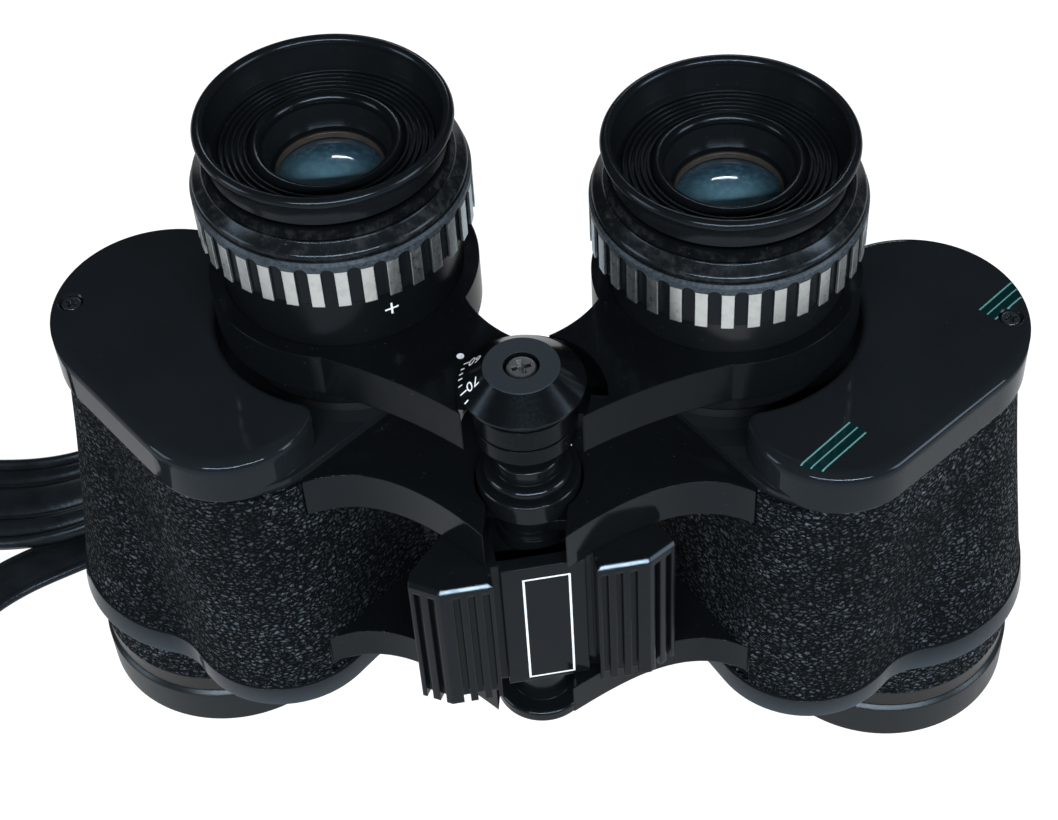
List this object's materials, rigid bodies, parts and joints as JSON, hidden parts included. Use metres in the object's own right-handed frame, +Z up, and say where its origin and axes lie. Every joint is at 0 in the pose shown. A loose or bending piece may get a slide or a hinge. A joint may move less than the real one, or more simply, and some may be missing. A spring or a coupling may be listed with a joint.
{
  "type": "binoculars",
  "caption": "Porro prism binoculars on a centre hinge, with a rocker lever that focuses both eyepieces, a dioptre ring, eyecups, strap lugs and a padded neck strap.",
  "frame": {"origin": "on the table under the middle of the binoculars' box, with the binoculars standing on their objective rims", "axes": "+X across from the left to the right half as seen from the rocker side, +Y from the rocker towards the back, +Z up along the hinge and the optical axes, towards the eyepieces"},
  "size_m": [0.336, 0.127, 0.1263],
  "materials": {
    "body_paint": "semi-gloss black enamel on a casting",
    "barrel_paint": "semi-gloss black enamel on turned parts",
    "grained_covering": "fine pebble grain, satin",
    "gloss_black": "gloss black",
    "ring_metal": "turned bright ring with black flutes",
    "rocker_plastic": "satin moulded plastic with a printed frame",
    "eyecup_plastic": "satin moulded plastic",
    "coated_glass": "blue coated glass",
    "prism_glass": "polished glass",
    "inner_metal": "matt black",
    "spindle_brass": "turned",
    "bright_steel": "plated",
    "blackened_steel": "blackened",
    "strap_webbing": "ridged synthetic leather"
  },
  "bodies": {
    "left_half": {"left_housing": "body_paint", "left_covering": "grained_covering", "left_prism_cover": "body_paint", "left_cover_screw": "blackened_steel", "left_prism_shelf": "inner_metal", "left_upper_prism": "prism_glass", "left_lower_prism": "prism_glass", "left_prism_clips": "inner_metal", "left_objective_barrel": "barrel_paint", "left_barrel_band": "grained_covering", "left_objective_bezel": "barrel_paint", "left_objective_crown": "coated_glass", "left_objective_flint": "coated_glass", "left_objective_retainer": "inner_metal", "left_guide_tube": "inner_metal", "hinge_tube": "gloss_black", "hinge_nut": "inner_metal", "hinge_pin": "gloss_black", "strap_left": "strap_webbing", "strap_right": "strap_webbing", "strap_coil": "strap_webbing", "strap_pad": "strap_webbing", "strap_hook": "bright_steel"},
    "right_half": {"right_housing": "body_paint", "right_covering": "grained_covering", "right_prism_cover": "body_paint", "right_cover_screw": "blackened_steel", "right_prism_shelf": "inner_metal", "right_upper_prism": "prism_glass", "right_lower_prism": "prism_glass", "right_prism_clips": "inner_metal", "right_objective_barrel": "barrel_paint", "right_barrel_band": "grained_covering", "right_objective_bezel": "barrel_paint", "right_objective_crown": "coated_glass", "right_objective_flint": "coated_glass", "right_objective_retainer": "inner_metal", "right_guide_tube": "inner_metal"},
    "rocker": {"focus_rocker": "rocker_plastic", "focus_nut": "spindle_brass"},
    "left_carriage": {"left_bridge_arm": "body_paint", "left_ocular_sleeve": "barrel_paint"},
    "right_carriage": {"right_bridge_arm": "body_paint", "right_ocular_sleeve": "barrel_paint", "right_ocular_cell": "inner_metal", "right_field_lens": "coated_glass", "right_eye_lens": "coated_glass", "right_eye_lens_retainer": "inner_metal", "right_grip_ring": "ring_metal", "right_eyecup": "eyecup_plastic", "focus_spindle": "spindle_brass", "hinge_cap": "body_paint", "cap_screw": "bright_steel"},
    "left_ocular": {"left_ocular_cell": "inner_metal", "left_field_lens": "coated_glass", "left_eye_lens": "coated_glass", "left_eye_lens_retainer": "inner_metal"},
    "dioptre": {"dioptre_ring": "ring_metal", "left_eyecup": "eyecup_plastic"}
  },
  "joints": [
    {"name": "spacing_hinge", "type": "hinge", "parent": "left_half", "child": "right_half", "pos_m": [0, -0.01703, 0.05], "axis": [0, 0, 1], "range_deg": [-27.8, 11.3]},
    {"name": "focus_turn", "type": "hinge", "parent": "left_half", "child": "rocker", "pos_m": [0, -0.01703, 0.05], "axis": [0, 0, 1], "range_deg": [-38, 12.3]},
    {"name": "left_focus_slide", "type": "slide", "parent": "left_half", "child": "left_carriage", "axis": [0, 0, 1], "range_m": [-0.0038, 0.00123]},
    {"name": "right_focus_slide", "type": "slide", "parent": "right_half", "child": "right_carriage", "axis": [0, 0, 1], "range_m": [-0.0038, 0.00123]},
    {"name": "dioptre_slide", "type": "slide", "parent": "left_carriage", "child": "left_ocular", "axis": [0, 0, 1], "range_m": [-0.0038, 0.0006]},
    {"name": "dioptre_turn", "type": "hinge", "parent": "left_ocular", "child": "dioptre", "pos_m": [-0.031, 0.01177, 0.11], "axis": [0, 0, 1], "range_deg": [-190, 30]}
  ],
  "couplings": [
    {"joint": "focus_turn", "follows": "left_focus_slide", "rad_per_m": 174.5},
    {"joint": "right_focus_slide", "follows": "left_focus_slide", "ratio": 1},
    {"joint": "dioptre_turn", "follows": "dioptre_slide", "rad_per_m": 872.6}
  ]
}
